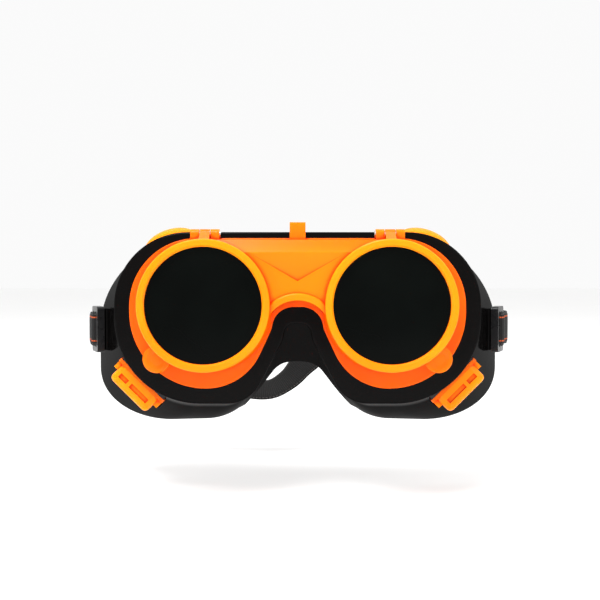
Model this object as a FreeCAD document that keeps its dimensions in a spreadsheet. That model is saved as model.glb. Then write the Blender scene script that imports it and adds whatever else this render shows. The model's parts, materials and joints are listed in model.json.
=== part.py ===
"""Flip-front welding goggles.

Frame: +X to the right as seen from the front, +Y towards the wearer, +Z up, in millimetres.
Origin: midway between the two lens axes, at their height, on the front of the brow of the face seal.
"""
import FreeCAD
import Part
import Sketcher
import os
import math
from FreeCAD import Placement, Rotation, Vector

doc = FreeCAD.newDocument("WeldingGoggles")
sheet = doc.addObject("Spreadsheet::Sheet", "Sizes")

SIZES = {
    # lenses and how far apart they sit
    "lens_spacing": 77.0, "lens_diameter": 50.0, "view_diameter": 48.0, "lens_gap": 0.1, "lens_slack": 0.05,
    "clear_thick": 2.0, "dark_thick": 3.0, "bevel": 0.35,
    "ring_bore": 47.0, "retainer_thick": 2.2, "filter_ring_thick": 1.8,
    # the mask: depths are measured back from the flange's front face
    "brow_depth": 28.0, "flange_thick": 5.4, "lip_thick": 1.0, "groove_thick": 2.4, "groove_reach": 2.0,
    "web_reach": 3.5, "wall_thick": 2.2, "seal_width": 8.0, "seal_thick": 2.6, "neck_inset": 3.2,
    "half_width": 77.2, "flange_top": 30.5, "flange_bottom": 41.8,
    "mid_depth": 17.0, "mid_half_width": 79.6, "mid_top": 28.3, "mid_bottom": 47.0,
    "rim_depth": 52.0, "rim_half_width": 93.8, "rim_top": 30.0, "rim_bottom": 56.0,
    "head_radius": 222.0, "nose_radius": 24.0, "nose_depth": 39.5, "nose_tilt": 16.0,
    # the lens frame
    "frame_half_width": 70.6, "frame_top": 27.9, "frame_bottom": 35.2, "frame_proud": 1.2,
    "seat_proud": 5.2, "seat_outer": 54.0, "seat_root": 57.0, "seat_shelf": 2.6,
    "rib_outer": 13.4, "rib_inner": 11.0, "rib_height": -11.5,
    # the flip and its hinge
    "cup_diameter": 54.5, "cup_depth": 9.2, "cup_lip": 2.2, "cup_gap": 0.4, "cup_flare": 0.7,
    "axis_height": 29.5, "axis_proud": 2.4, "knuckle": 4.2, "ear_width": 3.6, "lug_width": 4.2,
    "side_play": 0.3, "lug_foot": 25.6, "pin_diameter": 1.8, "pin_play": 0.05, "pin_head": 0.5,
    "bridge_top": 27.0, "bridge_low": 2.2, "bridge_proud": 11.4, "bridge_wall": 2.0,
    "bevel_height": 5.2, "bevel_angle": 26.0, "facet_half_width": 19.5, "facet_height": 11.4,
    "facet_gap": 0.4, "facet_angle": 5.0,
    "arch_radius": 13.9, "arch_lip": 3.0, "arch_proud": 1.3, "arch_round": 1.1,
    "tab_radius": 5.8, "tab_reach": 29.6, "tab_angle": 48.5, "tab_thick": 2.6, "tab_back": 0.6,
    "dish_radius": 4.2, "dish_floor": 2.6, "dish_depth": 0.5,
    "tongue_width": 6.6, "tongue_top": 34.5, "tongue_root": 13.5, "tongue_thick": 1.5, "tongue_gap": 0.5,
    # vents
    "vent_length": 21.5, "vent_depth": 14.0, "vent_height": 8.1, "vent_skin": 1.6, "vent_play": 0.15,
    "vent_corner": 2.6, "vent_crown": 2.0, "vent_step": 4.0, "vent_step_depth": 9.0, "vent_step_height": 3.4,
    "slot_long": 10.0, "slot_short": 4.6, "slot_tall": 2.1, "slot_sink": 1.0, "slot_rise": 4.0,
    "window_length": 13.0, "dome_length": 24.0, "dome_depth": 14.4, "dome_height": 6.8, "dome_skin": 1.3,
    "neck_length": 14.0, "neck_depth": 8.0, "duct_length": 10.5, "duct_depth": 3.8, "pad_gap": 0.1,
    "base_length": 26.0, "base_depth": 15.0, "base_thick": 1.5, "base_corner": 1.6, "oval_corner": 7.2,
    "inner_length": 18.0, "inner_depth": 11.5, "inner_thick": 1.4, "inner_corner": 5.4,
    "boss_length": 24.6, "boss_depth": 15.4, "boss_thick": 2.6, "room_gap": 0.3, "pocket_wall": 2.0,
    # strap and buckles
    "strap_width": 15.0, "strap_thick": 1.6, "strap_height": -12.0,
    "buckle_height": 20.5, "buckle_length": 15.0, "buckle_thick": 3.2, "buckle_corner": 1.6,
    "slot_height": 16.0, "slot_length": 3.0, "slot_pitch": 6.0,
    "loop_gap": 0.2, "loop_reach": 8.0, "loop_depth": 5.0, "loop_inset": 1.0,
    "temple_splay": 20.0, "buckle_out": 87.6, "buckle_back": 4.0, "buckle_shift": 4.0,
}
for row, (alias, value) in enumerate(SIZES.items(), start=1):
    sheet.set("A%d" % row, alias)
    sheet.set("B%d" % row, str(value))
    sheet.setAlias("B%d" % row, alias)
doc.recompute()


def size(alias):
    """The number that a cell of the sheet holds."""
    return float(getattr(sheet, alias))


SIDES = {"left": -1, "right": 1}
AXIS_X = Vector(1, 0, 0)
AXIS_Y = Vector(0, 1, 0)
AXIS_Z = Vector(0, 0, 1)
FRONT_UP = Rotation(AXIS_X, 90)          # a local +Z that points to the front
flange_y = -size("brow_depth")
lens_x = size("lens_spacing") / 2
axis_y = flange_y - size("axis_proud")
axis_z = size("axis_height")
cup_back_y = flange_y - size("seat_proud") - size("cup_gap")
cup_front_y = cup_back_y - size("cup_depth")
THROUGH = 12.0                           # how far a cut reaches when it has to go right through


# ---------------------------------------------------------------- outlines
def rounded_outline(corners, y):
    """A closed wire in the plane at y: a polygon of (x, z, radius) corners, rounded by tangent arcs."""
    edges = []
    count = len(corners)
    ends = []
    for i, (x, z, radius) in enumerate(corners):
        here = Vector(x, y, z)
        before = Vector(corners[i - 1][0], y, corners[i - 1][1])
        after = Vector(corners[(i + 1) % count][0], y, corners[(i + 1) % count][1])
        back = (before - here).normalize()
        ahead = (after - here).normalize()
        half = back.getAngle(ahead) / 2
        tangent = radius / math.tan(half)
        middle = (back + ahead).normalize() * (radius / math.sin(half) - radius)
        ends.append((here + back * tangent, here + middle, here + ahead * tangent))
    for i, (start, middle, end) in enumerate(ends):
        edges.append(Part.Arc(start, middle, end).toShape())
        edges.append(Part.LineSegment(end, ends[(i + 1) % count][0]).toShape())
    return Part.Wire(edges)


def mirrored(right_half):
    """A whole outline from its right half, listed from the top outer corner to the nose."""
    left_half = [(-x, z, radius) for x, z, radius in reversed(right_half)]
    return right_half + left_half


def grown(wire, distance):
    """The outline moved outwards by a distance, or inwards by a negative one."""
    return wire.makeOffset2D(distance)


def plate(wire, y_from, y_to):
    """A plate of the outline's shape between two depths."""
    moved = wire.copy()
    moved.translate(Vector(0, y_from - wire.BoundBox.YMin, 0))
    return Part.Face(moved).extrude(Vector(0, y_to - y_from, 0))


def cylinder_y(radius, y_from, y_to, x, z):
    """A cylinder along Y."""
    return Part.makeCylinder(radius, y_to - y_from, Vector(x, y_from, z), AXIS_Y)


def cylinder_x(radius, x_from, x_to, y, z):
    """A cylinder along X."""
    return Part.makeCylinder(radius, x_to - x_from, Vector(x_from, y, z), AXIS_X)


def cone_y(radius_from, radius_to, y_from, y_to, x, z):
    """A cone along Y."""
    return Part.makeCone(radius_from, radius_to, y_to - y_from, Vector(x, y_from, z), AXIS_Y)


def box_between(low, high):
    """A box from its two far corners."""
    span = Vector(*high) - Vector(*low)
    return Part.makeBox(span.x, span.y, span.z, Vector(*low))


def add_feature(label, shape):
    """A sub-part whose shape comes from Part's own functions."""
    feature = doc.addObject("Part::Feature", label)
    feature.Label = label
    feature.Shape = shape.removeSplitter()
    feature.Placement = Placement()
    return feature


# ---------------------------------------------------------------- mask outlines
flange_outline = rounded_outline(mirrored([
    (size("half_width"), size("flange_top"), 31.0),
    (size("half_width"), -size("flange_bottom"), 36.0),
    (20.5, -size("flange_bottom"), 15.0),
    (6.4, -15.5, 13.0),
    (4.6, -8.0, 4.0),
]), flange_y)
mid_outline = rounded_outline(mirrored([
    (size("mid_half_width"), size("mid_top"), 34.0),
    (size("mid_half_width"), -size("mid_bottom"), 35.0),
    (28.0, -size("mid_bottom"), 18.0),
    (15.5, -35.5, 12.0),
    (8.6, -28.0, 8.0),
]), flange_y + size("mid_depth"))
rim_outline = rounded_outline(mirrored([
    (size("rim_half_width"), size("rim_top"), 43.0),
    (size("rim_half_width"), -size("rim_bottom"), 23.0),
    (40.0, -size("rim_bottom"), 27.0),
    (20.0, -41.0, 14.0),
    (9.0, -33.0, 8.5),
]), flange_y + size("rim_depth"))
frame_outline = rounded_outline(mirrored([
    (size("frame_half_width"), size("frame_top"), 28.5),
    (size("frame_half_width"), -size("frame_bottom"), 32.0),
    (22.5, -size("frame_bottom"), 25.0),
    (10.9, -10.2, 10.0),
    (9.3, -0.9, 8.8),
]), flange_y)
neck_outline = grown(flange_outline, -size("neck_inset"))
neck_outline.translate(Vector(0, size("flange_thick") - 1.0, 0))


def mask_loft(inset):
    """The mask's tapering hood, with its walls moved in by the inset."""
    sections = [neck_outline, mid_outline, rim_outline]
    if inset:
        sections = [grown(section, -inset) for section in sections]
    return Part.makeLoft(sections, True, False)


def face_solid(grow):
    """The wearer's face as the mask meets it: a wide forehead curve and a tilted nose."""
    head_radius = size("head_radius") + grow
    head_centre = Vector(0, size("head_radius"), -90)
    head = Part.makeCylinder(head_radius, 180, head_centre, AXIS_Z)
    nose_radius = size("nose_radius") + grow
    lean = math.radians(size("nose_tilt"))
    nose_axis = Vector(0, math.sin(lean), math.cos(lean))
    nose_point = Vector(0, flange_y + size("nose_depth"), -25)
    nose = Part.makeCylinder(nose_radius, 160, nose_point - nose_axis * 80, nose_axis)
    return head.fuse(nose)


# ---------------------------------------------------------------- vents: where they sit
# (x, z) of each vent's seat, its depth behind the flange, the lean of its normal and its forward tilt
VENTS = {
    "lower": {"x": 66.5, "z": -32.4, "depth": 14.2, "lean": -45.0, "tilt": 4.0},
    "upper": {"x": 54.2, "z": 24.0, "depth": 14.6, "lean": 72.0, "tilt": 2.0},
}


def vent_placement(level, side):
    """Placement on a vent's seat: local +Z out of the mask, +X along its edge, +Y to the back."""
    spot = VENTS[level]
    lean = math.radians(spot["lean"])
    tilt = math.radians(spot["tilt"])
    out = Vector(side * math.cos(lean) * math.cos(tilt), -math.sin(tilt), math.sin(lean) * math.cos(tilt))
    along = AXIS_Y.cross(out).normalize()
    origin = Vector(side * spot["x"], flange_y + spot["depth"], spot["z"])
    return Placement(origin, Rotation(along, out.cross(along), out))


hood_solid = mask_loft(0)
vent_places = {}
for level in VENTS:
    for side_name, side in SIDES.items():
        vent_places[level, side_name] = vent_placement(level, side)


# ---------------------------------------------------------------- mask body
def temple_loop(side):
    """A moulded loop on the temple that the buckle's front bar clips into."""
    place = buckle_place(side)
    half = size("buckle_height") / 2 - size("loop_inset")
    reach = size("loop_reach")
    depth = size("loop_depth")
    stem = Part.makeBox(reach, depth, 2 * half, Vector(-reach, -depth / 2, -half))
    stem = stem.makeFillet(1.2, [edge for edge in stem.Edges if abs(edge.tangentAt(0).z) > 0.9])
    stem.Placement = place
    return stem


def buckle_place(side):
    """Placement of a temple loop's outer face: local +X outwards, +Z up."""
    splay = size("temple_splay")
    turn = Rotation(AXIS_Z, -splay if side > 0 else 180 + splay)
    return Placement(Vector(side * size("buckle_out"), size("buckle_back"), size("strap_height")), turn)


def seat_box(length, depth, low, high, place):
    """A box centred on a vent's seat, between two heights along its normal."""
    box = Part.makeBox(length, depth, high - low, Vector(-length / 2, -depth / 2, low))
    box.Placement = place
    return box


def vent_boss(place):
    """The thickened flat seat that carries a vent, with the pocket that sinks it into the wall."""
    length = size("boss_length")
    depth = size("boss_depth")
    skirt = seat_box(length, depth, -THROUGH, 0, place).cut(mask_loft(size("wall_thick")))
    seat = seat_box(length, depth, -size("boss_thick"), 0, place)
    around = 2 * (size("room_gap") + size("pocket_wall"))
    pocket = seat_box(size("base_length") + around, size("base_depth") + around, -size("boss_thick"), THROUGH,
                      place)
    return skirt.fuse(seat).fuse(pocket.common(hood_solid))


def vent_recess(place):
    """What is cut away for a vent: the room above its seat and the window through it."""
    play = 2 * size("vent_play")
    gap = 2 * size("room_gap")
    room = seat_box(size("base_length") + gap, size("base_depth") + gap, 0, THROUGH, place)
    window = seat_box(size("neck_length") + play, size("neck_depth") + play, -THROUGH, 1, place)
    inner = seat_box(size("inner_length") + play, size("inner_depth") + play, -THROUGH - 2,
                     -size("boss_thick"), place)
    return room.fuse(window).fuse(inner)


def mask_shape():
    """The soft hood with its front flange, frame groove, face-seal lip, vent windows and temple loops."""
    rim_zone = hood_solid.cut(mask_loft(size("seal_width"))).common(face_solid(size("seal_thick")))
    body = hood_solid.cut(mask_loft(size("wall_thick"))).fuse(rim_zone)
    thick = size("flange_thick")
    flange = plate(flange_outline, flange_y, flange_y + thick)
    flange = flange.makeFillet(0.9, [edge for edge in flange.Edges if edge.BoundBox.YLength < 0.01])
    lip = size("lip_thick")
    groove = plate(grown(frame_outline, size("groove_reach") + 0.1), flange_y + lip,
                   flange_y + lip + size("groove_thick"))
    window = plate(grown(frame_outline, 0.05), flange_y - 1, flange_y + lip + size("groove_thick"))
    throat = plate(grown(frame_outline, -size("web_reach")), flange_y - 1, flange_y + thick + 3)
    body = body.fuse(flange)
    for side in SIDES.values():
        body = body.fuse(temple_loop(side).cut(mask_loft(size("wall_thick"))))
    body = body.cut(groove).cut(window).cut(throat)
    for place in vent_places.values():
        body = body.fuse(vent_boss(place)).cut(vent_recess(place))
    return body.cut(face_solid(0))


# ---------------------------------------------------------------- lens frame
def frame_shape():
    """The front frame: groove tongue, raised plate, two lens seats, four hinge ears and the spring tongue."""
    lip = size("lip_thick")
    back_y = flange_y + lip + size("groove_thick") - 0.05
    front_y = flange_y - size("frame_proud")
    land_y = flange_y - size("seat_proud")
    flat = plate(frame_outline, front_y, back_y)
    flat = flat.makeFillet(0.6, [edge for edge in flat.Edges if edge.BoundBox.YMax < front_y + 0.01])
    edge = plate(grown(frame_outline, size("groove_reach")), flange_y + lip + 0.05, back_y)
    shape = flat.fuse(edge)
    for side in SIDES.values():
        shape = shape.fuse(cone_y(size("seat_outer") / 2, size("seat_root") / 2, land_y, front_y + 0.1,
                                  side * lens_x, 0))
    outside = plate(grown(frame_outline, 0.0), land_y - 1, front_y)
    shape = shape.common(outside.fuse(plate(grown(frame_outline, size("groove_reach")), front_y, back_y)))
    shape = shape.fuse(bridge_rib(front_y))
    for side in SIDES.values():
        for offset in (-1, 1):
            shape = shape.fuse(hinge_ear(side * lens_x, offset, land_y))
    shelf_y = land_y + size("seat_shelf")
    for side in SIDES.values():
        centre_x = side * lens_x
        slot_half = size("lug_width") / 2 + size("side_play")
        slot = box_between((centre_x - slot_half, land_y - 1, size("lug_foot")),
                           (centre_x + slot_half, flange_y + lip, axis_z + 6))
        shape = shape.cut(slot)
        shape = shape.cut(cylinder_y(size("view_diameter") / 2, land_y - 1, back_y + 1, centre_x, 0))
        shape = shape.cut(cylinder_y(size("lens_diameter") / 2 + size("lens_gap"), shelf_y, back_y + 1,
                                     centre_x, 0))
        for offset in (-1, 1):
            middle = centre_x + offset * ear_centre()
            shape = shape.cut(cylinder_x(size("pin_diameter") / 2, middle - 4, middle + 4, axis_y, axis_z))
    return shape.fuse(spring_tongue(front_y))


def ear_centre():
    """How far an ear's middle is from the lug's middle."""
    return size("lug_width") / 2 + size("side_play") + size("ear_width") / 2


def hinge_ear(centre_x, offset, land_y):
    """One ear: a rounded knuckle on a web that stands on top of the lens seat."""
    half = size("ear_width") / 2
    middle = centre_x + offset * ear_centre()
    radius = size("knuckle") / 2
    knuckle = cylinder_x(radius, middle - half, middle + half, axis_y, axis_z)
    web = box_between((middle - half, axis_y - radius, size("lens_diameter") / 2 + 0.6),
                      (middle + half, axis_y + radius, axis_z))
    return knuckle.fuse(web)


def bridge_rib(front_y):
    """The rolled rib that follows the nose arch between the two lens seats."""
    height = size("rib_height")
    outer = cylinder_y(size("rib_outer"), front_y - 1.0, front_y + 0.1, 0, height)
    inner = cylinder_y(size("rib_inner"), front_y - 2.0, front_y + 1.0, 0, height)
    keep = box_between((-size("rib_outer"), front_y - 3, -7), (size("rib_outer"), front_y + 2, 6))
    return outer.cut(inner).common(keep).common(plate(frame_outline, front_y - 2, front_y + 1))


def spring_tongue(front_y):
    """The moulded tongue in the middle: a root block low on the plate and a free blade that stands up."""
    half = size("tongue_width") / 2
    blade_front = axis_y - size("tongue_gap")
    blade_back = axis_y + size("tongue_gap") + size("tongue_thick")
    blade = box_between((-half, blade_front, size("tongue_root")), (half, blade_back, size("tongue_top")))
    corner_edges = [edge for edge in blade.Edges if edge.BoundBox.ZMin > size("tongue_top") - 0.01
                    and edge.BoundBox.XLength > 1]
    blade = blade.makeFillet(0.6, corner_edges)
    root = box_between((-half, blade_front, size("tongue_root") - 3),
                       (half, front_y + 0.2, size("tongue_root") + 2))
    return blade.fuse(root)


# ---------------------------------------------------------------- flip frame
def arch_centre_z():
    """Height of the centre of the arc under the flip's bridge."""
    return size("bridge_low") - size("arch_radius")


def bridge_block(y_from, y_to, drop):
    """The bridge's outline between the two cups, moved in at its top and arch by the drop."""
    slab = box_between((-lens_x, y_from, -7), (lens_x, y_to, size("bridge_top") - drop))
    return slab.cut(cylinder_y(size("arch_radius") + drop, y_from - 1, y_to + 1, 0, arch_centre_z()))


def bridge_shape():
    """The faceted bridge: a bevelled top, a sunk V facet, and a rolled lip round the arch."""
    front_y = flange_y - size("bridge_proud")
    top = size("bridge_top")
    block = bridge_block(front_y, cup_back_y, 0)
    bevel = Part.makeBox(4 * lens_x, THROUGH, THROUGH, Vector(-2 * lens_x, -THROUGH, 0))
    bevel.Placement = Placement(Vector(0, front_y, top - size("bevel_height")),
                                Rotation(AXIS_X, -size("bevel_angle")))
    block = block.cut(bevel)
    half = size("facet_half_width")
    facet_z = top - size("bevel_height") - size("facet_gap")
    start = Vector(-half, front_y - 3, facet_z)
    facet = Part.makePolygon([start, Vector(half, front_y - 3, facet_z),
                              Vector(0, front_y - 3, facet_z - size("facet_height")), start])
    wedge = Part.Face(facet).extrude(Vector(0, 10, 0))
    tilt = Part.makeBox(4 * half, THROUGH, 2 * half, Vector(-2 * half, -THROUGH, -2 * half))
    tilt.Placement = Placement(Vector(0, front_y, facet_z), Rotation(AXIS_X, size("facet_angle")))
    block = block.cut(wedge.common(tilt))
    lip_y = front_y - size("arch_proud")
    lip = cylinder_y(size("arch_radius") + size("arch_lip"), lip_y, front_y + 0.5, 0, arch_centre_z())
    lip = lip.makeFillet(size("arch_round"), [edge for edge in lip.Edges if edge.BoundBox.YMax < lip_y + 0.1])
    lip = lip.cut(cylinder_y(size("arch_radius"), front_y - 5, front_y + 5, 0, arch_centre_z()))
    lip = lip.common(box_between((-lens_x, front_y - 5, -6), (lens_x, front_y + 5, top)))
    wall = size("bridge_wall")
    hollow = bridge_block(front_y + wall, cup_back_y + 1, wall)
    return block.fuse(lip), hollow


def cup_outside(side):
    """One cup's outer form with a rounded front edge."""
    cup = cylinder_y(size("cup_diameter") / 2, cup_front_y, cup_back_y, side * lens_x, 0)
    front = [edge for edge in cup.Edges if edge.BoundBox.YMax < cup_front_y + 0.01]
    return cup.makeFillet(0.8, front)


def thumb_tab(side):
    """The dished half-round tab at the lower outer edge of a cup."""
    angle = math.radians(size("tab_angle"))
    x = side * (lens_x + size("tab_reach") * math.cos(angle))
    z = -size("tab_reach") * math.sin(angle)
    back = cup_back_y - size("tab_back")
    front = back - size("tab_thick")
    tab = cylinder_y(size("tab_radius"), front, back, x, z)
    tab = tab.makeFillet(0.6, [edge for edge in tab.Edges if edge.BoundBox.YMax < front + 0.01])
    dish = cone_y(size("dish_radius"), size("dish_floor"), front - 0.01, front + size("dish_depth"), x, z)
    return tab.cut(dish)


def hinge_lug(side):
    """The lug from a cup's top back to the hinge axis."""
    half = size("lug_width") / 2
    radius = size("knuckle") / 2
    knuckle = cylinder_x(radius, side * lens_x - half, side * lens_x + half, axis_y, axis_z)
    start = side * lens_x - half
    side_view = Part.makePolygon([
        Vector(start, axis_y, axis_z + radius),
        Vector(start, cup_back_y - 4.4, size("cup_diameter") / 2 - 0.4),
        Vector(start, cup_back_y - 0.4, size("cup_diameter") / 2 - 1.6),
        Vector(start, axis_y, axis_z - radius),
        Vector(start, axis_y, axis_z + radius),
    ])
    return knuckle.fuse(Part.Face(side_view).extrude(Vector(2 * half, 0, 0)))


def flip_shape():
    """The flip-up front: two cups on a hollow bridge, with tabs and lugs."""
    shape, hollow = bridge_shape()
    for side in SIDES.values():
        hollow = hollow.cut(cylinder_y(size("cup_diameter") / 2, cup_front_y - 1, cup_back_y + 2,
                                       side * lens_x, 0))
    shape = shape.cut(hollow)
    for side in SIDES.values():
        shape = shape.fuse(cup_outside(side)).fuse(thumb_tab(side)).fuse(hinge_lug(side))
    view = size("view_diameter") / 2
    flare = size("cup_flare")
    for side in SIDES.values():
        shape = shape.cut(cylinder_y(view, cup_front_y - 1, cup_back_y + 1, side * lens_x, 0))
        shape = shape.cut(cone_y(view + flare, view, cup_front_y - 0.01, cup_front_y + flare,
                                 side * lens_x, 0))
        shape = shape.cut(cylinder_y(size("lens_diameter") / 2 + size("lens_gap"),
                                     cup_front_y + size("cup_lip"), cup_back_y + 1, side * lens_x, 0))
        reach = size("lug_width")
        shape = shape.cut(cylinder_x(size("pin_diameter") / 2 + size("pin_play"), side * lens_x - reach,
                                     side * lens_x + reach, axis_y, axis_z))
    return shape


# ---------------------------------------------------------------- head strap
# stations along the strap from the left buckle to the right one: x, y, z of its middle and its lean
STRAP = (
    (-93.6, 15.1, -12.0, 0),
    (-97.5, 24.0, -12.6, 0),
    (-98.0, 42.0, -15.5, -4),
    (-87.0, 61.0, -22.0, -12),
    (-66.0, 73.5, -31.5, -24),
    (-45.0, 78.0, -41.0, -38),
    (-28.0, 80.0, -46.8, -50),
    (-15.0, 80.7, -48.0, -55),
    (-5.0, 81.5, -42.6, -50),
    (2.5, 82.5, -34.8, -40),
    (14.0, 84.0, -25.5, -26),
    (33.0, 84.5, -17.5, -14),
    (57.0, 79.5, -14.0, -6),
    (81.0, 66.5, -12.6, 0),
    (95.5, 46.0, -12.0, 0),
    (98.5, 26.0, -12.0, 0),
    (93.6, 15.1, -12.0, 0),
)


def strap_shape():
    """The elastic head strap: a flat band swept smoothly through its stations, hanging loose behind."""
    middle = Part.BSplineCurve()
    middle.interpolate([Vector(x, y, z) for x, y, z, lean in STRAP])
    spans = 44
    sections = []
    for i in range(spans + 1):
        at = middle.FirstParameter + i / spans * (middle.LastParameter - middle.FirstParameter)
        here = middle.value(at)
        run = middle.tangent(at)[0]
        up = (AXIS_Z - run * run.dot(AXIS_Z)).normalize()
        up = Rotation(run, strap_lean(here)).multVec(up)
        out = run.cross(up)
        a = up * (size("strap_width") / 2)
        b = out * (size("strap_thick") / 2)
        sections.append(Part.makePolygon([here - a - b, here + a - b, here + a + b, here - a + b,
                                          here - a - b]))
    return Part.makeLoft(sections, True, True)


def strap_lean(point):
    """The strap's lean at a point: a blend of the two nearest stations, weighted by distance."""
    ranked = sorted((point.distanceToPoint(Vector(x, y, z)), lean) for x, y, z, lean in STRAP)
    near, far = ranked[0], ranked[1]
    weight = far[0] / (near[0] + far[0])
    return near[1] * weight + far[1] * (1 - weight)


# ---------------------------------------------------------------- parametric bodies
def new_body(label):
    """An empty body with its label."""
    body = doc.addObject("PartDesign::Body", label)
    body.Label = label
    return body


def new_sketch(body, name, height="0", role="XY_Plane"):
    """A sketch on one of the body's own origin planes, raised along its normal."""
    sketch = body.newObject("Sketcher::SketchObject", name)
    base = [item for item in body.Origin.OriginFeatures if item.Role == role][0]
    sketch.AttachmentSupport = (base, [""])
    sketch.MapMode = "FlatFace"
    sketch.setExpression(".AttachmentOffset.Base.z", height)
    return sketch


def add_circle(sketch, radius):
    """A circle about the sketch's origin with its radius bound to the sheet."""
    index = sketch.addGeometry(Part.Circle(Vector(0, 0, 0), AXIS_Z, 10 + sketch.GeometryCount))
    sketch.addConstraint(Sketcher.Constraint("Coincident", index, 3, -1, 1))
    bind(sketch, Sketcher.Constraint("Radius", index, 10 + index), radius)


def add_rectangle(sketch, width, height, centre=None):
    """A rectangle with its width and height bound to the sheet, about the origin or about another centre."""
    x, z = centre or (0, 0)
    corners = [Vector(x + a, z + b, 0) for a, b in ((-2, -1), (2, -1), (2, 1), (-2, 1))]
    first = sketch.GeometryCount
    for i in range(4):
        sketch.addGeometry(Part.LineSegment(corners[i], corners[(i + 1) % 4]))
    for i in range(4):
        sketch.addConstraint(Sketcher.Constraint("Coincident", first + i, 2, first + (i + 1) % 4, 1))
    for i, kind in enumerate(("Horizontal", "Vertical", "Horizontal", "Vertical")):
        sketch.addConstraint(Sketcher.Constraint(kind, first + i))
    bind(sketch, Sketcher.Constraint("DistanceX", first, 1, first, 2, 4), width)
    bind(sketch, Sketcher.Constraint("DistanceY", first + 1, 1, first + 1, 2, 2), height)
    if centre is None:
        sketch.addConstraint(Sketcher.Constraint("Symmetric", first, 1, first + 1, 2, -1, 1))
    else:
        bind(sketch, Sketcher.Constraint("DistanceX", -1, 1, first, 1, x - 2), "%g - (%s) / 2" % (x, width))
        bind(sketch, Sketcher.Constraint("DistanceY", -1, 1, first, 1, z - 1), "%g - (%s) / 2" % (z, height))


def bind(sketch, constraint, expression):
    """Add a constraint whose value follows an expression."""
    number = sketch.addConstraint(constraint)
    sketch.setExpression("Constraints[%d]" % number, expression)


def add_pad(body, sketch, name, length, reverse=False):
    """A pad with its length bound to the sheet."""
    pad = body.newObject("PartDesign::Pad", name)
    pad.Profile = sketch
    pad.Reversed = reverse
    pad.setExpression("Length", length)
    sketch.Visibility = False
    return pad


def add_pocket(body, sketch, name, length, reverse=False):
    """A pocket with its depth bound to the sheet."""
    pocket = body.newObject("PartDesign::Pocket", name)
    pocket.Profile = sketch
    pocket.Reversed = reverse
    pocket.setExpression("Length", length)
    sketch.Visibility = False
    return pocket


def make_lens(label, thick, place):
    """A round lens with its two edges bevelled."""
    body = new_body(label)
    sketch = new_sketch(body, label + "_circle")
    add_circle(sketch, "Sizes.lens_diameter / 2")
    pad = add_pad(body, sketch, label + "_disc", thick)
    doc.recompute()
    bevel = body.newObject("PartDesign::Chamfer", label + "_bevel")
    rims = ["Edge%d" % (i + 1) for i, edge in enumerate(pad.Shape.Edges) if edge.Closed]
    bevel.Base = (pad, rims)
    bevel.setExpression("Size", "Sizes.bevel")
    body.Placement = place


def make_ring(label, thick, place):
    """A flat snap ring that holds a lens in its seat."""
    body = new_body(label)
    sketch = new_sketch(body, label + "_circles")
    add_circle(sketch, "Sizes.lens_diameter / 2")
    add_circle(sketch, "Sizes.ring_bore / 2")
    add_pad(body, sketch, label + "_ring", thick)
    body.Placement = place


def make_pin(label, place):
    """A hinge pin with a low head: two bound cylinders, fused."""
    shaft = doc.addObject("Part::Cylinder", label + "_shaft")
    shaft.setExpression("Radius", "Sizes.pin_diameter / 2")
    shaft.setExpression("Height", "Sizes.lug_width + 2 * (Sizes.side_play + Sizes.ear_width)")
    head = doc.addObject("Part::Cylinder", label + "_head")
    head.setExpression("Radius", "Sizes.pin_diameter * 0.8")
    head.setExpression("Height", "Sizes.pin_head")
    head.setExpression(".Placement.Base.z", "-Sizes.pin_head")
    pin = doc.addObject("Part::Fuse", label)
    pin.Base = shaft
    pin.Tool = head
    pin.Label = label
    pin.Placement = place


def make_vent_base(label, place, corner):
    """A vent neck through the wall, with an outer and an oval inner flange and a duct right through."""
    body = new_body(label)
    low = "-(Sizes.boss_thick + Sizes.inner_thick + Sizes.pad_gap)"
    inner = new_sketch(body, label + "_inner", low)
    add_rectangle(inner, "Sizes.inner_length", "Sizes.inner_depth")
    inner_pad = add_pad(body, inner, label + "_inner_flange", "Sizes.inner_thick")
    doc.recompute()
    round_upright_edges(body, inner_pad, label + "_oval", "Sizes.inner_corner", size("inner_thick"))
    neck = new_sketch(body, label + "_neck", low)
    add_rectangle(neck, "Sizes.neck_length", "Sizes.neck_depth")
    add_pad(body, neck, label + "_neck_pad", "Sizes.boss_thick + Sizes.inner_thick + 4 * Sizes.pad_gap")
    outer = new_sketch(body, label + "_outer", "Sizes.pad_gap")
    add_rectangle(outer, "Sizes.base_length", "Sizes.base_depth")
    outer_pad = add_pad(body, outer, label + "_outer_flange", "Sizes.base_thick")
    doc.recompute()
    round_upright_edges(body, outer_pad, label + "_corners", corner, size("base_thick"))
    duct = new_sketch(body, label + "_duct", "Sizes.base_thick + Sizes.pad_gap")
    add_rectangle(duct, "Sizes.duct_length", "Sizes.duct_depth")
    add_pocket(body, duct, label + "_duct_cut", "Sizes.base_thick + Sizes.boss_thick + Sizes.inner_thick + 1")
    body.Placement = place


def round_upright_edges(body, feature, name, radius, length):
    """A fillet on the feature's edges of a given length along local Z."""
    names = []
    for i, edge in enumerate(feature.Shape.Edges, start=1):
        box = edge.BoundBox
        if abs(box.ZLength - length) < 0.01 and box.XLength + box.YLength < 0.01:
            names.append("Edge%d" % i)
    fillet = body.newObject("PartDesign::Fillet", name)
    fillet.Base = (feature, names)
    fillet.setExpression("Radius", radius)
    doc.recompute()
    return fillet


CAP_FOOT = "(Sizes.base_thick + Sizes.pad_gap + 0.05)"
cap_foot = size("base_thick") + size("pad_gap") + 0.05


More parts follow.
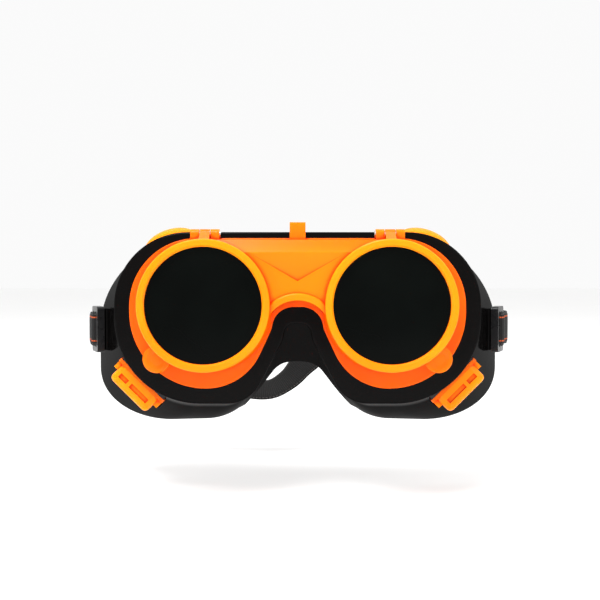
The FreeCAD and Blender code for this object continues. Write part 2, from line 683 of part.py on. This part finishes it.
def make_vent_cap(label, place, way):
    """A lower vent's cap: a tray with stepped ends, two sunk slots in front and a window behind."""
    body = new_body(label)
    step = new_sketch(body, label + "_step", CAP_FOOT)
    add_rectangle(step, "Sizes.vent_length + Sizes.vent_step", "Sizes.vent_step_depth")
    add_pad(body, step, label + "_step_pad", "Sizes.vent_step_height")
    outline = new_sketch(body, label + "_outline", CAP_FOOT)
    add_rectangle(outline, "Sizes.vent_length", "Sizes.vent_depth")
    block = add_pad(body, outline, label + "_block", "Sizes.vent_height")
    doc.recompute()
    rounded = round_upright_edges(body, block, label + "_corners", "Sizes.vent_corner", size("vent_height"))
    crown = body.newObject("PartDesign::Fillet", label + "_crown")
    top = cap_foot + size("vent_height")
    crown.Base = (rounded, ["Edge%d" % i for i, edge in enumerate(rounded.Shape.Edges, start=1)
                            if edge.BoundBox.ZMin > top - 0.01])
    crown.setExpression("Radius", "Sizes.vent_crown")
    hollow = new_sketch(body, label + "_hollow", CAP_FOOT)
    add_rectangle(hollow, "Sizes.vent_length - 2 * Sizes.vent_skin", "Sizes.vent_depth - 2 * Sizes.vent_skin")
    add_pocket(body, hollow, label + "_hollow_cut", "Sizes.vent_height - Sizes.vent_skin", True)
    rise = cap_foot + size("slot_rise")
    slots = new_sketch(body, label + "_slots", "Sizes.vent_depth / 2", "XZ_Plane")
    add_rectangle(slots, "Sizes.slot_long", "Sizes.slot_tall", (way * 3.0, rise))
    add_rectangle(slots, "Sizes.slot_short", "Sizes.slot_tall", (-way * 6.0, rise))
    add_pocket(body, slots, label + "_slot_cut", "Sizes.slot_sink")
    window = new_sketch(body, label + "_window", "-Sizes.vent_depth / 2", "XZ_Plane")
    add_rectangle(window, "Sizes.window_length", "Sizes.slot_tall", (0, rise))
    add_pocket(body, window, label + "_window_cut", "Sizes.vent_skin + 0.4", True)
    body.Placement = place


def half_ellipsoid(label, skin):
    """The upper half of an ellipsoid on a vent's foot, smaller than the dome by the skin."""
    half = doc.addObject("Part::Ellipsoid", label)
    half.setExpression("Radius1", "Sizes.dome_height - " + skin)
    half.setExpression("Radius2", "Sizes.dome_length / 2 - " + skin)
    half.setExpression("Radius3", "Sizes.dome_depth / 2 - " + skin)
    half.Angle1 = 0
    half.Angle2 = 90
    half.setExpression(".Placement.Base.z", CAP_FOOT)
    return half


def make_vent_dome(label, place):
    """An upper vent's cap: a hollow oval dome with a window behind."""
    hollow = doc.addObject("Part::Cut", label + "_hollow")
    hollow.Base = half_ellipsoid(label + "_outside", "0")
    hollow.Tool = half_ellipsoid(label + "_inside", "Sizes.dome_skin")
    window = doc.addObject("Part::Box", label + "_window")
    window.setExpression("Length", "Sizes.window_length / 2")
    window.setExpression("Width", "Sizes.dome_depth")
    window.setExpression("Height", "Sizes.slot_tall / 2")
    window.setExpression(".Placement.Base.x", "-Sizes.window_length / 4")
    window.setExpression(".Placement.Base.z", CAP_FOOT + " + 1")
    cap = doc.addObject("Part::Cut", label)
    cap.Base = hollow
    cap.Tool = window
    cap.Label = label
    cap.Placement = place


def make_buckle(label, place):
    """A slider buckle: a flat plate with two upright slots and rounded corners."""
    body = new_body(label)
    face = new_sketch(body, label + "_face")
    add_rectangle(face, "Sizes.buckle_length", "Sizes.buckle_height")
    block = add_pad(body, face, label + "_block", "Sizes.buckle_thick")
    doc.recompute()
    corners = body.newObject("PartDesign::Fillet", label + "_corners")
    corners.Base = (block, ["Edge%d" % i for i, edge in enumerate(block.Shape.Edges, start=1)
                            if edge.BoundBox.ZLength > 1])
    corners.setExpression("Radius", "Sizes.buckle_corner")
    slots = new_sketch(body, label + "_slots", "Sizes.buckle_thick")
    for way in (-0.5, 0.5):
        add_rectangle(slots, "Sizes.slot_length", "Sizes.slot_height", (way * size("slot_pitch"), 0))
    add_pocket(body, slots, label + "_slot_cut", "Sizes.buckle_thick + 1")
    body.Placement = place


# ---------------------------------------------------------------- the assembly
add_feature("mask_body", mask_shape())
add_feature("lens_frame", frame_shape())
add_feature("flip_frame", flip_shape())
add_feature("head_strap", strap_shape())
slack = size("lens_slack")
clear_y = flange_y - size("seat_proud") + size("seat_shelf") + size("clear_thick") + slack
dark_y = cup_front_y + size("cup_lip") + size("dark_thick") + slack
for side_name, side in SIDES.items():
    centre_x = side * lens_x
    retainer_y = clear_y + size("retainer_thick") + slack
    filter_ring_y = dark_y + size("filter_ring_thick") + slack
    make_lens("clear_lens_" + side_name, "Sizes.clear_thick",
              Placement(Vector(centre_x, clear_y, 0), FRONT_UP))
    make_ring("lens_retainer_" + side_name, "Sizes.retainer_thick",
              Placement(Vector(centre_x, retainer_y, 0), FRONT_UP))
    make_lens("dark_lens_" + side_name, "Sizes.dark_thick",
              Placement(Vector(centre_x, dark_y, 0), FRONT_UP))
    make_ring("filter_ring_" + side_name, "Sizes.filter_ring_thick",
              Placement(Vector(centre_x, filter_ring_y, 0), FRONT_UP))
    pin_half = size("lug_width") / 2 + size("side_play") + size("ear_width")
    make_pin("hinge_pin_" + side_name, Placement(Vector(centre_x - side * pin_half, axis_y, axis_z),
                                                 Rotation(AXIS_Z, Vector(side, 0, 0))))
    make_vent_base("vent_base_lower_" + side_name, vent_places["lower", side_name], "Sizes.base_corner")
    make_vent_cap("vent_cap_lower_" + side_name, vent_places["lower", side_name], side)
    make_vent_base("vent_base_upper_" + side_name, vent_places["upper", side_name], "Sizes.oval_corner")
    make_vent_dome("vent_cap_upper_" + side_name, vent_places["upper", side_name])
    outward = Placement(Vector(size("loop_gap"), side * size("buckle_shift"), 0),
                        Rotation(AXIS_Y, AXIS_Z, AXIS_X))
    make_buckle("strap_buckle_" + side_name, buckle_place(side).multiply(outward))
doc.recompute()

NODES = ["mask_body", "lens_frame", "flip_frame", "head_strap"]
for side_name in SIDES:
    NODES += [stem + side_name for stem in ("clear_lens_", "lens_retainer_", "dark_lens_", "filter_ring_",
                                            "hinge_pin_", "strap_buckle_")]
    for level in VENTS:
        NODES += ["vent_base_%s_%s" % (level, side_name), "vent_cap_%s_%s" % (level, side_name)]

for item in doc.Objects:
    if "Invalid" in item.State or "Error" in item.State:
        raise RuntimeError("failed: %s %s" % (item.Label, item.State))
os.makedirs("parts", exist_ok=True)
for label in NODES:
    part = doc.getObjectsByLabel(label)[0]
    if part.Shape.isNull() or not part.Shape.isValid():
        raise RuntimeError("bad shape: " + label)
    part.Shape.exportStep("parts/%s.step" % label)
    box = part.Shape.BoundBox
    print("%-24s solids %d volume %9.1f  x %.1f..%.1f  y %.1f..%.1f  z %.1f..%.1f" % (
        label, len(part.Shape.Solids), part.Shape.Volume, box.XMin, box.XMax, box.YMin, box.YMax,
        box.ZMin, box.ZMax))
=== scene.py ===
"""Flip-up welding goggles: materials, the woven head strap, light and camera on the fixed CAD frame."""
import json
import math

import bmesh
import bpy
from mathutils import Matrix, Vector


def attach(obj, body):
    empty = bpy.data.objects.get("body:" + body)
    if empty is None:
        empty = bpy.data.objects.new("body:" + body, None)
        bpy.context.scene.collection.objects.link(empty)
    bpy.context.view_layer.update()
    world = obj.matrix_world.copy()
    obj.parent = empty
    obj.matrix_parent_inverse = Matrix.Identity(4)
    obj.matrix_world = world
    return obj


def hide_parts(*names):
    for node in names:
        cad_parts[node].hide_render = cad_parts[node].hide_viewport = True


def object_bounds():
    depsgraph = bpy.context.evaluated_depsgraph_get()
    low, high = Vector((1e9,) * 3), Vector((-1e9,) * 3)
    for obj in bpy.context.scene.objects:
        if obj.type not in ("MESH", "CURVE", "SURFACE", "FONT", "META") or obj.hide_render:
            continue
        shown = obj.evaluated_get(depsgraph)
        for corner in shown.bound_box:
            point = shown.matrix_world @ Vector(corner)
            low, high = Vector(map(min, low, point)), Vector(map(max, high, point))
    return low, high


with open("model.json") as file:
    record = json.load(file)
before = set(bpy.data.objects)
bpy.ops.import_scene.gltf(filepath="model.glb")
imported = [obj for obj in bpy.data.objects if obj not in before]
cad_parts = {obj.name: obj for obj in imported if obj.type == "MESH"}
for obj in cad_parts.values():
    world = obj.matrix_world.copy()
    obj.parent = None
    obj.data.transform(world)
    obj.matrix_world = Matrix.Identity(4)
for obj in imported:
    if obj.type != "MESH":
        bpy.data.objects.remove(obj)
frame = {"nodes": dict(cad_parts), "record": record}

cad_box = [list(corner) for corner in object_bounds()]
nodes = frame["nodes"]
MM = 0.001


# ---------------------------------------------------------------- node helpers
class Shader:
    """One material and short ways to wire its nodes."""

    def __init__(self, name):
        self.material = bpy.data.materials.new(name)
        self.material.use_nodes = True
        self.tree = self.material.node_tree
        self.bsdf = self.tree.nodes["Principled BSDF"]
        self.place = self.tree.nodes.new("ShaderNodeTexCoord").outputs["Object"]

    def set(self, **values):
        """Uniform values straight on the shader's sockets."""
        for key, value in values.items():
            self.bsdf.inputs[key.replace("_", " ")].default_value = value

    def link(self, source, target):
        """A wire between two sockets."""
        self.tree.links.new(source, target)

    def feed(self, socket, source):
        """A wire into the shader's socket of that name."""
        self.link(source, self.bsdf.inputs[socket])

    def noise(self, scale, detail=3.0, roughness=0.55, place=None):
        """A noise value from 0 to 1, scale cells to the metre."""
        node = self.tree.nodes.new("ShaderNodeTexNoise")
        node.inputs["Scale"].default_value = scale
        node.inputs["Detail"].default_value = detail
        node.inputs["Roughness"].default_value = roughness
        self.link(place or self.place, node.inputs["Vector"])
        return node.outputs["Fac"]

    def stretched(self, x, y, z):
        """The surface point with each axis scaled, for a noise with a direction."""
        node = self.tree.nodes.new("ShaderNodeMapping")
        node.inputs["Scale"].default_value = (x, y, z)
        self.link(self.place, node.inputs["Vector"])
        return node.outputs["Vector"]

    def remap(self, source, low, high, to_low, to_high, smooth=False):
        """A value moved from the range low to high into the range to_low to to_high, and held there."""
        node = self.tree.nodes.new("ShaderNodeMapRange")
        if smooth:
            node.interpolation_type = "SMOOTHSTEP"
        node.inputs["From Min"].default_value = low
        node.inputs["From Max"].default_value = high
        node.inputs["To Min"].default_value = to_low
        node.inputs["To Max"].default_value = to_high
        self.link(source, node.inputs["Value"])
        return node.outputs["Result"]

    def maths(self, operation, first, second=None, third=None):
        """One maths node on numbers or sockets."""
        node = self.tree.nodes.new("ShaderNodeMath")
        node.operation = operation
        for i, value in enumerate((first, second, third)):
            if value is None:
                continue
            if isinstance(value, (int, float)):
                node.inputs[i].default_value = value
            else:
                self.link(value, node.inputs[i])
        return node.outputs[0]

    def mix(self, factor, first, second):
        """A colour between two, each a tuple or a socket."""
        node = self.tree.nodes.new("ShaderNodeMix")
        node.data_type = "RGBA"
        self.link(factor, node.inputs["Factor"])
        for socket, value in ((node.inputs[6], first), (node.inputs[7], second)):
            if isinstance(value, tuple):
                socket.default_value = (*value, 1.0)
            else:
                self.link(value, socket)
        return node.outputs[2]

    def bump(self, height, strength, distance, after=None):
        """A normal from a height, on top of another normal where after is given."""
        node = self.tree.nodes.new("ShaderNodeBump")
        node.inputs["Strength"].default_value = strength
        node.inputs["Distance"].default_value = distance
        self.link(height, node.inputs["Height"])
        if after:
            self.link(after, node.inputs["Normal"])
        return node.outputs["Normal"]

    def openness(self, reach):
        """How open the surface is within reach: 1 in the open, lower in creases and slots."""
        node = self.tree.nodes.new("ShaderNodeAmbientOcclusion")
        node.samples = 8
        node.inputs["Distance"].default_value = reach
        return node.outputs["AO"]

    def axis(self, letter):
        """One coordinate of the surface point in the object's own frame."""
        node = self.tree.nodes.new("ShaderNodeSeparateXYZ")
        self.link(self.place, node.inputs[0])
        return node.outputs[letter]


# ---------------------------------------------------------------- materials
CREASE_REACH = 0.0025
# painted shade: the redder orange put into creases and slots
CREASE_SHADE_ORANGE = (0.90, 0.055, 0.0006)
# the flip's colour turns to a darker painted shade between its front plane and this far back, along Y
RIMS = (-0.0428, -0.0370)
# the lens frame's colour turns to a lighter painted light between these heights, at the foot of its ears
# and tongue
EAR_FOOT = (0.0272, 0.0288)


def orange_plastic(name, dark, light, rough, rear_shade=None, lit_top=None):
    """Moulded translucent orange plastic: soft colour drift, faint flow marks and handling marks.

    The colour is painted with shade, darker and redder behind the front rims and in creases and slots,
    and with light, lighter on the ears and tongue on top.
    """
    s = Shader(name)
    drift = s.remap(s.noise(28, 2), 0.3, 0.7, 0, 1)
    colour = s.mix(drift, dark, light)
    if rear_shade:
        # painted shade: the flip darker and redder towards its back
        colour = s.mix(s.remap(s.axis("Y"), *RIMS, 0, 1, smooth=True), colour, rear_shade)
    if lit_top:
        # painted light: the lens frame lighter above the foot of its ears and tongue
        colour = s.mix(s.remap(s.axis("Z"), *EAR_FOOT, 0, 1, smooth=True), colour, lit_top)
    # painted shade: the colour turns redder where the surface is sheltered, in creases and slots
    painted_crease_shade = s.remap(s.openness(CREASE_REACH), 0.45, 0.95, 1, 0, smooth=True)
    s.feed("Base Color", s.mix(painted_crease_shade, colour, CREASE_SHADE_ORANGE))
    marks = s.noise(420, 4, 0.6)
    s.feed("Roughness", s.remap(marks, 0.3, 0.75, rough, rough + 0.12))
    grain = s.bump(s.noise(2600, 2), 0.10, 0.00004)
    s.feed("Normal", s.bump(s.noise(90, 2), 0.12, 0.0003, grain))
    s.set(IOR=1.5, Subsurface_Weight=0.3, Subsurface_Scale=0.003, Specular_IOR_Level=0.1)
    s.bsdf.inputs["Subsurface Radius"].default_value = (1.0, 0.32, 0.05)
    return s.material


# the mask's narrow neck behind its flange starts over NECK_START and ends over NECK_END, along Y
NECK_START = (-0.0250, -0.0236)
NECK_END = (-0.0185, -0.0150)
# it is glossy from this far aside of the nose
NOSE_ASIDE = (0.016, 0.032)


def soft_pvc(name):
    """Black flexible PVC: dull, a little dusty, under a thin gloss that is strong on the neck's sides."""
    s = Shader(name)
    depth = s.axis("Y")
    neck = s.maths("MULTIPLY", s.remap(depth, *NECK_START, 0, 1, smooth=True),
                   s.remap(depth, *NECK_END, 1, 0, smooth=True))
    aside = s.remap(s.maths("ABSOLUTE", s.axis("X")), *NOSE_ASIDE, 0, 1, smooth=True)
    neck = s.maths("MULTIPLY", neck, aside)
    s.feed("Coat Weight", s.remap(neck, 0, 1, 0.10, 0.9))
    dust = s.remap(s.noise(900, 5, 0.7), 0.56, 0.8, 0, 0.5)
    s.feed("Base Color", s.mix(dust, (0.0026, 0.0024, 0.0024), (0.010, 0.0095, 0.009)))
    grain = s.bump(s.noise(3200, 2), 0.22, 0.00005)
    bumpy = s.bump(s.noise(60, 2), 0.25, 0.0006, grain)
    s.feed("Normal", bumpy)
    s.feed("Coat Normal", bumpy)
    s.set(Roughness=0.6, IOR=1.5, Specular_IOR_Level=0.0, Coat_IOR=1.5, Coat_Roughness=0.1)
    return s.material


def black_plastic(name):
    """Hard black moulded plastic with a fine spark texture and rubbed patches."""
    s = Shader(name)
    s.feed("Roughness", s.remap(s.noise(180, 4), 0.3, 0.7, 0.2, 0.36))
    worn = s.remap(s.noise(320, 4, 0.65), 0.55, 0.8, 0, 0.6)
    s.feed("Base Color", s.mix(worn, (0.006, 0.006, 0.0065), (0.026, 0.025, 0.024)))
    s.feed("Normal", s.bump(s.noise(3000, 2), 0.25, 0.00006))
    s.set(IOR=1.49, Specular_IOR_Level=0.2)
    return s.material


def clear_lens(name):
    """Clear polycarbonate with faint smears and slightly uneven faces."""
    s = Shader(name)
    smear = s.noise(70, 4, 0.6, s.stretched(1, 1, 2.6))
    s.feed("Roughness", s.remap(smear, 0.45, 0.8, 0.012, 0.09))
    s.feed("Normal", s.bump(s.noise(40, 2), 0.03, 0.0002))
    tint = s.remap(smear, 0.3, 0.8, 0, 1)
    s.feed("Base Color", s.mix(tint, (0.985, 0.995, 0.99), (0.95, 0.965, 0.96)))
    s.set(IOR=1.45, Transmission_Weight=1.0)
    return s.material


def dark_glass(name):
    """Near-black green welding glass, polished, with faint smears."""
    s = Shader(name)
    smear = s.noise(60, 4, 0.6, s.stretched(1, 1, 2.2))
    s.feed("Roughness", s.remap(smear, 0.4, 0.8, 0.03, 0.11))
    depth = s.remap(s.noise(35, 2), 0.3, 0.7, 0, 1)
    s.feed("Base Color", s.mix(depth, (0.0008, 0.0012, 0.0010), (0.0016, 0.0024, 0.0020)))
    s.feed("Normal", s.bump(s.noise(30, 1), 0.03, 0.0002))
    s.set(IOR=1.45, Specular_IOR_Level=0.05)
    return s.material


def pin_steel(name):
    """Drawn steel pin: fine lines round it and light tarnish."""
    s = Shader(name)
    s.feed("Roughness", s.remap(s.noise(800, 3, 0.5, s.stretched(12, 1, 1)), 0.3, 0.7, 0.22, 0.42))
    s.feed("Base Color", s.mix(s.noise(500, 3), (0.42, 0.41, 0.40), (0.62, 0.61, 0.60)))
    s.set(Metallic=1.0)
    return s.material


# the weave in millimetres: its spacings, then the orange-red threads and the edge stitches, each as the
# distance from the strap's middle and half the width
RIB_PITCH = 0.95
YARN_PITCH = 0.62
STITCH_PITCH = 1.5
THREAD_BAND = (5.3, 0.3)
STITCH_BAND = (6.75, 0.2)
TURN = 2 * math.pi


def woven_elastic(name, threads):
    """Black ribbed elastic webbing with lighter stitched edges, and two orange-red threads if asked."""
    s = Shader(name)
    uv = s.tree.nodes.new("ShaderNodeUVMap")
    uv.uv_map = "weave"
    split = s.tree.nodes.new("ShaderNodeSeparateXYZ")
    s.link(uv.outputs[0], split.inputs[0])
    along = split.outputs["X"]
    across = s.maths("ABSOLUTE", split.outputs["Y"])
    rib = s.maths("SINE", s.maths("MULTIPLY", along, TURN / RIB_PITCH))
    yarn = s.maths("SINE", s.maths("MULTIPLY", split.outputs["Y"], TURN / YARN_PITCH))
    weave = s.maths("MULTIPLY", s.remap(rib, -1, 1, 0.15, 1), s.remap(yarn, -1, 1, 0.45, 1))
    fuzz = s.noise(1500, 4, 0.7)
    body = s.mix(s.maths("MULTIPLY", weave, fuzz), (0.0025, 0.0025, 0.0027), (0.018, 0.0175, 0.0165))
    if threads:
        thread = s.maths("COMPARE", across, *THREAD_BAND)
        thread = s.maths("MULTIPLY", thread, s.remap(rib, -1, 0.4, 0.25, 1))
        body = s.mix(thread, body, (0.62, 0.10, 0.02))
    stitch = s.maths("SINE", s.maths("MULTIPLY", along, TURN / STITCH_PITCH))
    dash = s.maths("GREATER_THAN", stitch, -0.25)
    edge = s.maths("MULTIPLY", s.maths("COMPARE", across, *STITCH_BAND), dash)
    edge = s.maths("MULTIPLY", edge, s.remap(fuzz, 0.3, 0.7, 0.4, 1))
    s.feed("Base Color", s.mix(edge, body, (0.09, 0.085, 0.08)))
    s.feed("Roughness", s.remap(fuzz, 0.2, 0.8, 0.62, 0.86))
    hair = s.bump(fuzz, 0.5, 0.0001)
    s.feed("Normal", s.bump(weave, 0.9, 0.0003, hair))
    s.set(Sheen_Weight=0.04, Sheen_Roughness=0.5, Specular_IOR_Level=0.2)
    return s.material


# one orange plastic in lit and shaded copies: the flip and vent caps get a lighter painted light orange,
# the parts on the orange_plastic and vent_plastic slots a darker, redder painted shade orange
LIT_FLIP = orange_plastic("flip_plastic_lit", (1.0, 0.235, 0.002), (1.0, 0.285, 0.004), 0.16,
                      rear_shade=(0.98, 0.165, 0.0015))
LIT_VENT_CAPS = orange_plastic("vent_cap_plastic_lit", (1.0, 0.245, 0.002), (1.0, 0.295, 0.004), 0.18)
LOOKS = {
    "mask_pvc": soft_pvc("mask_pvc"),
    "orange_plastic": orange_plastic("orange_plastic", (0.95, 0.100, 0.001), (0.97, 0.125, 0.0015), 0.16,
                                     lit_top=(1.0, 0.20, 0.002)),
    "vent_plastic": orange_plastic("vent_plastic", (0.90, 0.12, 0.002), (0.96, 0.17, 0.004), 0.2),
    "black_plastic": black_plastic("black_plastic"),
    "clear_lens": clear_lens("clear_lens"),
    "dark_glass": dark_glass("dark_glass"),
    "pin_steel": pin_steel("pin_steel"),
    "strap_elastic": woven_elastic("strap_elastic", True),
}
STRAP_INSIDE = woven_elastic("strap_elastic_inside", False)
for row in frame["record"]["subparts"]:
    thing = nodes[row["node"]]
    look = LOOKS[row["material_slot"]]
    # the flip and vent caps take the painted light copies of the orange
    if row["node"] == "flip_frame":
        look = LIT_FLIP
    if row["node"].startswith("vent_cap"):
        look = LIT_VENT_CAPS
    if thing.material_slots:
        for entry in thing.material_slots:
            entry.material = look
    else:
        thing.data.materials.append(look)

# ---------------------------------------------------------------- the strap
STRAP_WIDTH = 15.0
STRAP_THICK = 1.35
STRAP_STEP = 0.8
COLUMNS = 12
# how much of the thickness the edges lose, and how sharply
EDGE_LOSS = 0.75
EDGE_POWER = 8
# a temple: its angle to the mirror plane, and the foot of its buckle in millimetres
SPLAY = math.radians(20)
BUCKLE_FOOT = (87.6, 4.0, -12.0)
# millimetres: x, y, z of the strap's middle and its lean in degrees, from just behind the left buckle
STATIONS = (
    (-93.6, 15.1, -12.0, 0), (-97.5, 24.0, -12.6, 0), (-98.0, 42.0, -15.5, -4),
    (-87.0, 61.0, -22.0, -12), (-66.0, 73.5, -31.5, -24), (-45.0, 78.0, -41.0, -38),
    (-28.0, 80.0, -46.8, -50), (-15.0, 80.7, -48.0, -55), (-5.0, 81.5, -42.6, -50),
    (2.5, 82.5, -34.8, -40), (14.0, 84.0, -25.5, -26), (33.0, 84.5, -17.5, -14),
    (57.0, 79.5, -14.0, -6), (81.0, 66.5, -12.6, 0), (95.5, 46.0, -12.0, 0),
    (98.5, 26.0, -12.0, 0), (93.6, 15.1, -12.0, 0),
)
# the strap's way through a buckle: along the temple and out from its loop, from the rear bar forwards
THREADING = (
    (10.6, 0.3), (9.6, -0.75), (8.4, -0.5), (7.2, 1.0), (6.5, 2.9),
    (5.6, 4.1), (4.0, 4.4), (2.5, 4.1), (1.6, 3.1), (1.2, 1.7),
)


def buckle_point(side, along, out):
    """A station of the strap in a buckle, without lean. The side is -1 for left and 1 for right."""
    x = BUCKLE_FOOT[0] + along * math.sin(SPLAY) + out * math.cos(SPLAY)
    y = BUCKLE_FOOT[1] + along * math.cos(SPLAY) - out * math.sin(SPLAY)
    return (side * x, y, BUCKLE_FOOT[2], 0)


# points to a span of the curve, before they are spaced evenly
SAMPLES = 40


def smooth_path(stations, step):
    """Points at even steps along a smooth curve through the stations, each with its lean."""
    points = [Vector(p) for p in stations]
    ends = [2 * points[0] - points[1]] + points + [2 * points[-1] - points[-2]]
    dense = []
    for a, b, c, d in zip(ends, ends[1:], ends[2:], ends[3:]):
        for i in range(SAMPLES):
            t = i / SAMPLES
            dense.append(0.5 * (2 * b + (c - a) * t + (2 * a - 5 * b + 4 * c - d) * t ** 2
                                + (3 * b - a - 3 * c + d) * t ** 3))
    dense.append(points[-1])
    even = [dense[0]]
    left = step
    for here, there in zip(dense, dense[1:]):
        gap = (there.xyz - here.xyz).length
        done = 0.0
        while gap - done >= left:
            done += left
            even.append(here.lerp(there, done / gap))
            left = step
        left -= gap - done
    return even


def band(name, stations, step, width, thick):
    """A flat woven band along a path, with rounded edges and its weave coordinates in millimetres."""
    path = smooth_path(stations, step)
    profile = []
    for i in range(COLUMNS + 1):
        v = -1 + 2 * i / COLUMNS
        profile.append((v * width / 2, thick / 2 * (1 - abs(v) ** EDGE_POWER * EDGE_LOSS)))
    profile += [(v, -h) for v, h in reversed(profile)]
    mesh = bmesh.new()
    weave = mesh.loops.layers.uv.new("weave")
    rings = []
    for i, point in enumerate(path):
        run = (path[min(i + 1, len(path) - 1)].xyz - path[max(i - 1, 0)].xyz).normalized()
        up = (Vector((0, 0, 1)) - run * run.z).normalized()
        up = Matrix.Rotation(math.radians(point.w), 3, run) @ up
        out = run.cross(up)
        rings.append([mesh.verts.new((point.xyz + up * v + out * h) * MM) for v, h in profile])
    count = len(profile)
    for i, (first, second) in enumerate(zip(rings, rings[1:])):
        for j in range(count):
            k = (j + 1) % count
            face = mesh.faces.new((first[j], second[j], second[k], first[k]))
            face.smooth = True
            # the profile's second half is the outer face, with the orange-red threads
            face.material_index = 0 if j > COLUMNS else 1
            for loop, (u, v) in zip(face.loops, ((i, j), (i + 1, j), (i + 1, k), (i, k))):
                loop[weave].uv = (u * step, profile[v][0])
    for ring in (rings[0], list(reversed(rings[-1]))):
        cap = mesh.faces.new(ring)
        for loop in cap.loops:
            loop[weave].uv = (0, 0)
    bmesh.ops.recalc_face_normals(mesh, faces=mesh.faces)
    data = bpy.data.meshes.new(name)
    mesh.to_mesh(data)
    mesh.free()
    thing = bpy.data.objects.new(name, data)
    bpy.context.scene.collection.objects.link(thing)
    data.materials.append(LOOKS["strap_elastic"])
    data.materials.append(STRAP_INSIDE)
    return thing


left_threading = [buckle_point(-1, *p) for p in reversed(THREADING)]
right_threading = [buckle_point(1, *p) for p in THREADING]
route = left_threading + list(STATIONS) + right_threading
strap = band("woven_strap", route, STRAP_STEP, STRAP_WIDTH, STRAP_THICK)
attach(strap, "mask")
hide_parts("head_strap")

# ---------------------------------------------------------------- floor, light and camera
FLOOR_DROP = 0.03
FLOOR_SIZE = 12
lowest = cad_box[0][2]
bpy.ops.mesh.primitive_plane_add(size=FLOOR_SIZE, location=(0, 0, lowest - FLOOR_DROP))
floor = bpy.context.object
floor.name = "floor"
paper = Shader("floor_paper")
paper.feed("Base Color", paper.mix(paper.noise(6, 3), (0.955, 0.955, 0.95), (0.975, 0.975, 0.97)))
paper.feed("Roughness", paper.remap(paper.noise(30, 3), 0.3, 0.7, 0.7, 0.85))
paper.feed("Normal", paper.bump(paper.noise(500, 2), 0.05, 0.0002))
floor.data.materials.append(paper.material)

world = bpy.data.worlds.new("studio")
world.use_nodes = True
bpy.context.scene.world = world
sky = world.node_tree.nodes["Background"]
sky.inputs["Color"].default_value = (0.96, 0.96, 0.96, 1)
sky.inputs["Strength"].default_value = 1.0


def softbox(name, place, target, size, power):
    """A square area light of that size and power at place, aimed at target."""
    data = bpy.data.lights.new(name, "AREA")
    data.size = size
    data.energy = power
    lamp = bpy.data.objects.new(name, data)
    lamp.location = place
    lamp.rotation_euler = (Vector(target) - Vector(place)).to_track_quat("-Z", "Y").to_euler()
    bpy.context.scene.collection.objects.link(lamp)


MIDDLE = (0, 0, 0)
softbox("key_light", (-0.25, -0.5, 0.85), MIDDLE, 0.4, 10)
softbox("fill_light", (0.75, -0.7, 0.5), MIDDLE, 0.6, 2.5)
softbox("top_light", (0.0, 0.35, 1.1), MIDDLE, 0.9, 3)

# the picture is VIEW_WIDTH wide at the flange, which is the plane of the camera's aim
CAMERA_AWAY = 0.425
FRONT_PLANE = -0.028
VIEW_WIDTH = 0.2518
SENSOR_WIDTH = 36
RISE = math.radians(1.5)
AIM = Vector((0.001, FRONT_PLANE, 0.002))
camera_data = bpy.data.cameras.new("camera")
camera_data.sensor_width = SENSOR_WIDTH
camera_data.lens = SENSOR_WIDTH * CAMERA_AWAY / VIEW_WIDTH
camera_data.clip_start = 0.01
camera = bpy.data.objects.new("camera", camera_data)
camera.location = AIM + Vector((0, -math.cos(RISE), math.sin(RISE))) * CAMERA_AWAY
camera.rotation_euler = (AIM - camera.location).to_track_quat("-Z", "Y").to_euler()
bpy.context.scene.collection.objects.link(camera)
bpy.context.scene.camera = camera
bpy.context.scene.view_settings.view_transform = "Standard"
